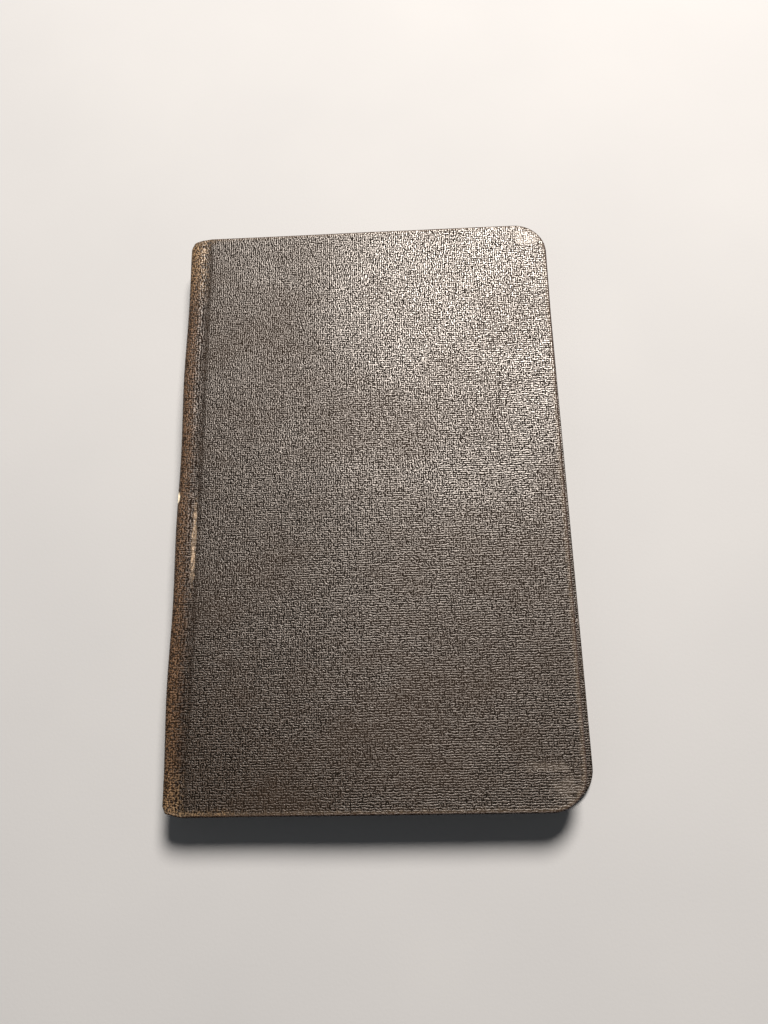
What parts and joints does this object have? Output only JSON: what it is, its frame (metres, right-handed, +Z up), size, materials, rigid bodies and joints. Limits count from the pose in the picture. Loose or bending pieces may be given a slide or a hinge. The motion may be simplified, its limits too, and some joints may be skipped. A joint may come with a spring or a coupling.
{
  "type": "prayer book",
  "caption": "Small closed prayer book in worn black cloth over thin boards, with a rounded spine ridge, rounded fore-edge corners and a sewn block that opens.",
  "frame": {"origin": "middle of the back cover's outer face, the face the closed book lies on", "axes": "+X from the spine to the fore edge, +Y from the tail to the head, +Z up through the thickness to the front cover"},
  "size_m": [0.103, 0.16, 0.011],
  "materials": {
    "bookcloth": "black grained book cloth with a dull sheen, faded brown along the spine",
    "cover_board": "dense grey-brown millboard",
    "endpaper": "plain aged endpaper, matte",
    "leaf_paper": "thin aged book paper, matte",
    "lining_paper": "brown kraft paper",
    "mull": "open-weave starched cotton",
    "tape": "woven linen tape",
    "band_thread": "rolled cotton band",
    "sewing_thread": "waxed linen thread"
  },
  "bodies": {
    "lower_block": {"section_09": "leaf_paper", "section_10": "leaf_paper", "section_11": "leaf_paper", "section_12": "leaf_paper", "sewing_thread_09": "sewing_thread", "sewing_thread_10": "sewing_thread", "sewing_thread_11": "sewing_thread", "sewing_thread_12": "sewing_thread", "back_spine_cloth": "bookcloth", "back_spine_lining": "lining_paper", "back_spine_mull": "mull", "back_sewing_tapes": "tape", "back_headband": "band_thread", "back_tailband": "band_thread", "back_endpaper_fold": "endpaper"},
    "eighth_section": {"section_08": "leaf_paper", "sewing_thread_08": "sewing_thread"},
    "seventh_section": {"section_07": "leaf_paper", "sewing_thread_07": "sewing_thread"},
    "sixth_section": {"section_06": "leaf_paper", "sewing_thread_06": "sewing_thread"},
    "fifth_section": {"section_05": "leaf_paper", "sewing_thread_05": "sewing_thread"},
    "upper_block": {"section_01": "leaf_paper", "section_02": "leaf_paper", "section_03": "leaf_paper", "section_04": "leaf_paper", "sewing_thread_01": "sewing_thread", "sewing_thread_02": "sewing_thread", "sewing_thread_03": "sewing_thread", "sewing_thread_04": "sewing_thread", "front_spine_cloth": "bookcloth", "front_spine_lining": "lining_paper", "front_spine_mull": "mull", "front_sewing_tapes": "tape", "front_headband": "band_thread", "front_tailband": "band_thread", "front_endpaper_fold": "endpaper"},
    "front_cover": {"front_cover_cloth": "bookcloth", "front_board": "cover_board", "front_mull_flange": "mull", "front_pastedown": "endpaper"},
    "back_cover": {"back_cover_cloth": "bookcloth", "back_board": "cover_board", "back_mull_flange": "mull", "back_pastedown": "endpaper"},
    "front_free_leaf": {"front_flyleaf": "endpaper"},
    "back_free_leaf": {"back_flyleaf": "endpaper"}
  },
  "joints": [
    {"name": "front_cover_hinge", "type": "hinge", "parent": "upper_block", "child": "front_cover", "pos_m": [-0.0461, 0, 0.0111], "axis": [0, 1, 0], "range_deg": [-178, 0]},
    {"name": "front_flyleaf_turn", "type": "hinge", "parent": "upper_block", "child": "front_free_leaf", "pos_m": [-0.0424, 0, 0.00914], "axis": [0, 1, 0], "range_deg": [-90, 0]},
    {"name": "back_cover_hinge", "type": "hinge", "parent": "lower_block", "child": "back_cover", "pos_m": [-0.0461, 0, -0.0001], "axis": [0, -1, 0], "range_deg": [-178, 0]},
    {"name": "back_flyleaf_turn", "type": "hinge", "parent": "lower_block", "child": "back_free_leaf", "pos_m": [-0.0424, 0, 0.00186], "axis": [0, -1, 0], "range_deg": [-90, 0]},
    {"name": "eighth_section_spread", "type": "hinge", "parent": "lower_block", "child": "eighth_section", "pos_m": [-0.0515, 0, 0.00383], "axis": [0, -1, 0], "range_deg": [0, 3]},
    {"name": "seventh_section_spread", "type": "hinge", "parent": "eighth_section", "child": "seventh_section", "pos_m": [-0.0515, 0, 0.00466], "axis": [0, -1, 0], "range_deg": [0, 3]},
    {"name": "middle_opening", "type": "hinge", "parent": "seventh_section", "child": "sixth_section", "pos_m": [-0.0515, 0, 0.0055], "axis": [0, -1, 0], "range_deg": [0, 168]},
    {"name": "sixth_section_spread", "type": "hinge", "parent": "sixth_section", "child": "fifth_section", "pos_m": [-0.0515, 0, 0.00634], "axis": [0, -1, 0], "range_deg": [0, 3]},
    {"name": "fifth_section_spread", "type": "hinge", "parent": "fifth_section", "child": "upper_block", "pos_m": [-0.0515, 0, 0.00717], "axis": [0, -1, 0], "range_deg": [0, 3]}
  ],
  "couplings": [
    {"joint": "front_flyleaf_turn", "follows": "front_cover_hinge", "ratio": 0.5},
    {"joint": "back_flyleaf_turn", "follows": "back_cover_hinge", "ratio": 0.5}
  ]
}
